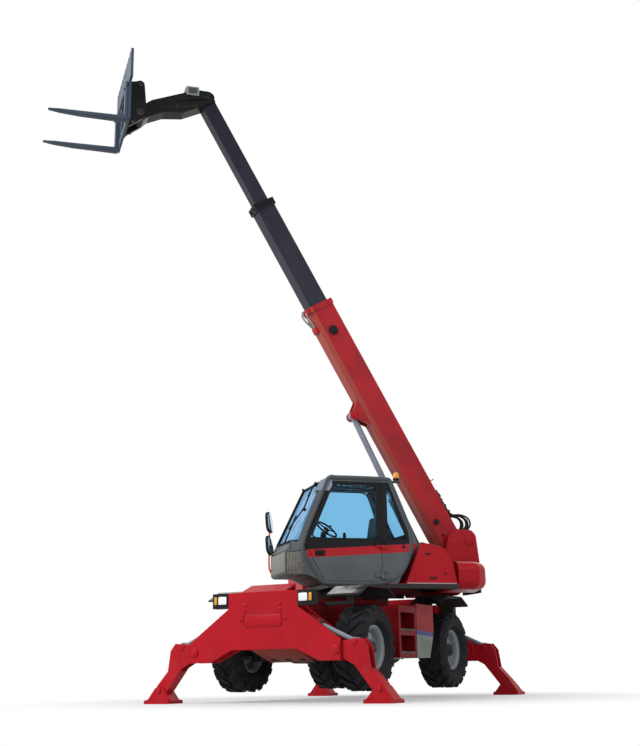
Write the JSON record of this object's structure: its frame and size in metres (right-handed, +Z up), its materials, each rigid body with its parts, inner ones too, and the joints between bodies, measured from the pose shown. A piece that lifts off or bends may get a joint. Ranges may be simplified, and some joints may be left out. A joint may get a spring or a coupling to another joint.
{
  "type": "rotating telehandler",
  "caption": "Rotating telescopic handler on outriggers: slewing turret with cab, telescoping boom, tilting fork carriage and steered wheels.",
  "frame": {"origin": "on the ground under the slew axis, midway between the axles", "axes": "+X forward, +Y to the machine's left, +Z up; the turret stands slewed to the right"},
  "size_m": [6.5799, 5.776, 9.8],
  "materials": {
    "red_paint": "crimson gloss paint",
    "navy_paint": "charcoal navy satin paint",
    "black_paint": "black satin paint",
    "slate_paint": "slate grey satin paint",
    "grey_paint": "light grey satin paint",
    "cast": "dark cast iron",
    "tyre": "matt black rubber",
    "chrome": "hard chrome",
    "glass": "clear blue tint",
    "black_plastic": "matt black plastic",
    "red_panel": "crimson moulded panels and tanks",
    "cab_grey": "light grey cab panels",
    "engine_alloy": "plain cast alloy",
    "amber": "amber plastic"
  },
  "bodies": {
    "chassis": {"chassis_frame": "red_paint", "slew_ring": "cast", "step_box": "red_paint", "left_tank": "red_panel", "fuel_tank": "red_panel", "fenders": "black_plastic", "headlamps": "black_plastic", "front_axle": "cast", "rear_axle": "cast", "front_outrigger_beam": "red_paint", "rear_outrigger_beam": "red_paint"},
    "turret": {"turret_frame": "red_paint", "counterweight": "red_paint", "engine_block": "engine_alloy", "engine_wall": "red_panel", "left_hood": "red_panel", "cab_shell": "cab_grey", "cab_glass": "glass", "cab_seat": "black_plastic", "cab_controls": "black_plastic", "beacon": "amber", "mirrors": "black_plastic"},
    "hood": {"engine_hood": "red_panel"},
    "door": {"cab_door": "cab_grey", "door_glass": "glass"},
    "boom_outer": {"boom_outer": "red_paint"},
    "boom_middle": {"boom_middle": "navy_paint"},
    "boom_inner": {"boom_inner": "navy_paint", "boom_nose": "black_paint", "work_light": "cab_grey"},
    "carriage": {"fork_hitch": "black_paint", "fork_carriage": "slate_paint", "forks": "slate_paint"},
    "lift_barrel": {"lift_barrel": "black_paint"},
    "lift_rod": {"lift_rod": "chrome"},
    "knuckle_fl": {"knuckle_fl": "cast"},
    "wheel_fl": {"rim_fl": "grey_paint", "tyre_fl": "tyre"},
    "leg_fl": {"leg_fl": "red_paint"},
    "ram_fl": {"leg_rod_fl": "chrome"},
    "knuckle_fr": {"knuckle_fr": "cast"},
    "wheel_fr": {"rim_fr": "grey_paint", "tyre_fr": "tyre"},
    "leg_fr": {"leg_fr": "red_paint"},
    "ram_fr": {"leg_rod_fr": "chrome"},
    "knuckle_rl": {"knuckle_rl": "cast"},
    "wheel_rl": {"rim_rl": "grey_paint", "tyre_rl": "tyre"},
    "leg_rl": {"leg_rl": "red_paint"},
    "ram_rl": {"leg_rod_rl": "chrome"},
    "knuckle_rr": {"knuckle_rr": "cast"},
    "wheel_rr": {"rim_rr": "grey_paint", "tyre_rr": "tyre"},
    "leg_rr": {"leg_rr": "red_paint"},
    "ram_rr": {"leg_rod_rr": "chrome"}
  },
  "joints": [
    {"name": "slew", "type": "hinge", "parent": "chassis", "child": "turret", "pos_m": [0, 0, 1.5], "axis": [0, 0, 1], "continuous": true},
    {"name": "luff", "type": "hinge", "parent": "turret", "child": "boom_outer", "pos_m": [-1.40271, 1.35458, 2.35], "axis": [-0.6947, -0.7193, 0], "range_deg": [-62, 9]},
    {"name": "telescope_middle", "type": "slide", "parent": "boom_outer", "child": "boom_middle", "axis": [0.3487, -0.3368, 0.8746], "range_m": [-1.75, 1.5]},
    {"name": "telescope_inner", "type": "slide", "parent": "boom_middle", "child": "boom_inner", "axis": [0.3487, -0.3368, 0.8746], "range_m": [-1.75, 1.5]},
    {"name": "carriage_tilt", "type": "hinge", "parent": "boom_inner", "child": "carriage", "pos_m": [2.40979, -2.32711, 9.05], "axis": [0.6947, 0.7193, 0], "range_deg": [-66, 40]},
    {"name": "lift_swing", "type": "hinge", "parent": "turret", "child": "lift_barrel", "pos_m": [-1.00708, 0.97252, 1.8], "axis": [-0.6947, -0.7193, 0], "range_deg": [-65, 10]},
    {"name": "lift_stroke", "type": "slide", "parent": "lift_barrel", "child": "lift_rod", "axis": [0.3151, -0.3042, 0.899], "range_m": [-0.81, 0.12]},
    {"name": "door_hinge", "type": "hinge", "parent": "turret", "child": "door", "pos_m": [0.6659, 0.94868, 2.3], "axis": [0, 0, 1], "range_deg": [0, 95]},
    {"name": "hood_hinge", "type": "hinge", "parent": "turret", "child": "hood", "pos_m": [-0.23341, -0.2417, 2.266], "axis": [-0.7193, 0.6947, 0], "range_deg": [0, 60]},
    {"name": "steer_fl", "type": "hinge", "parent": "chassis", "child": "knuckle_fl", "pos_m": [1.375, 0.75, 0.697], "axis": [0, 0, 1], "range_deg": [-35, 35]},
    {"name": "spin_fl", "type": "hinge", "parent": "knuckle_fl", "child": "wheel_fl", "pos_m": [1.375, 0.974, 0.697], "axis": [0, 1, 0], "continuous": true},
    {"name": "leg_fl", "type": "hinge", "parent": "chassis", "child": "leg_fl", "pos_m": [2.31, 1.09, 0.67], "axis": [1, 0, 0], "range_deg": [-5, 140]},
    {"name": "ram_fl", "type": "slide", "parent": "chassis", "child": "ram_fl", "axis": [0, 0.9107, -0.4132], "range_m": [-0.45, 0.02]},
    {"name": "steer_fr", "type": "hinge", "parent": "chassis", "child": "knuckle_fr", "pos_m": [1.375, -0.75, 0.697], "axis": [0, 0, 1], "range_deg": [-35, 35]},
    {"name": "spin_fr", "type": "hinge", "parent": "knuckle_fr", "child": "wheel_fr", "pos_m": [1.375, -0.974, 0.697], "axis": [0, 1, 0], "continuous": true},
    {"name": "leg_fr", "type": "hinge", "parent": "chassis", "child": "leg_fr", "pos_m": [2.31, -1.09, 0.67], "axis": [-1, 0, 0], "range_deg": [-5, 140]},
    {"name": "ram_fr", "type": "slide", "parent": "chassis", "child": "ram_fr", "axis": [0, -0.9107, -0.4132], "range_m": [-0.45, 0.02]},
    {"name": "steer_rl", "type": "hinge", "parent": "chassis", "child": "knuckle_rl", "pos_m": [-1.375, 0.75, 0.697], "axis": [0, 0, 1], "range_deg": [-35, 35]},
    {"name": "spin_rl", "type": "hinge", "parent": "knuckle_rl", "child": "wheel_rl", "pos_m": [-1.375, 0.974, 0.697], "axis": [0, 1, 0], "continuous": true},
    {"name": "leg_rl", "type": "hinge", "parent": "chassis", "child": "leg_rl", "pos_m": [-2.31, 1.09, 0.67], "axis": [1, 0, 0], "range_deg": [-5, 140]},
    {"name": "ram_rl", "type": "slide", "parent": "chassis", "child": "ram_rl", "axis": [0, 0.9107, -0.4132], "range_m": [-0.45, 0.02]},
    {"name": "steer_rr", "type": "hinge", "parent": "chassis", "child": "knuckle_rr", "pos_m": [-1.375, -0.75, 0.697], "axis": [0, 0, 1], "range_deg": [-35, 35]},
    {"name": "spin_rr", "type": "hinge", "parent": "knuckle_rr", "child": "wheel_rr", "pos_m": [-1.375, -0.974, 0.697], "axis": [0, 1, 0], "continuous": true},
    {"name": "leg_rr", "type": "hinge", "parent": "chassis", "child": "leg_rr", "pos_m": [-2.31, -1.09, 0.67], "axis": [-1, 0, 0], "range_deg": [-5, 140]},
    {"name": "ram_rr", "type": "slide", "parent": "chassis", "child": "ram_rr", "axis": [0, -0.9107, -0.4132], "range_m": [-0.45, 0.02]}
  ],
  "couplings": [
    {"joint": "telescope_inner", "follows": "telescope_middle", "ratio": 1},
    {"joint": "lift_swing", "follows": "luff", "ratio": 1.04},
    {"joint": "lift_stroke", "follows": "luff", "m_per_rad": 0.745},
    {"joint": "ram_fl", "follows": "leg_fl", "m_per_rad": -0.18},
    {"joint": "ram_fr", "follows": "leg_fr", "m_per_rad": -0.18},
    {"joint": "ram_rl", "follows": "leg_rl", "m_per_rad": -0.18},
    {"joint": "ram_rr", "follows": "leg_rr", "m_per_rad": -0.18},
    {"joint": "steer_fr", "follows": "steer_fl", "ratio": 1},
    {"joint": "steer_rr", "follows": "steer_rl", "ratio": 1}
  ]
}
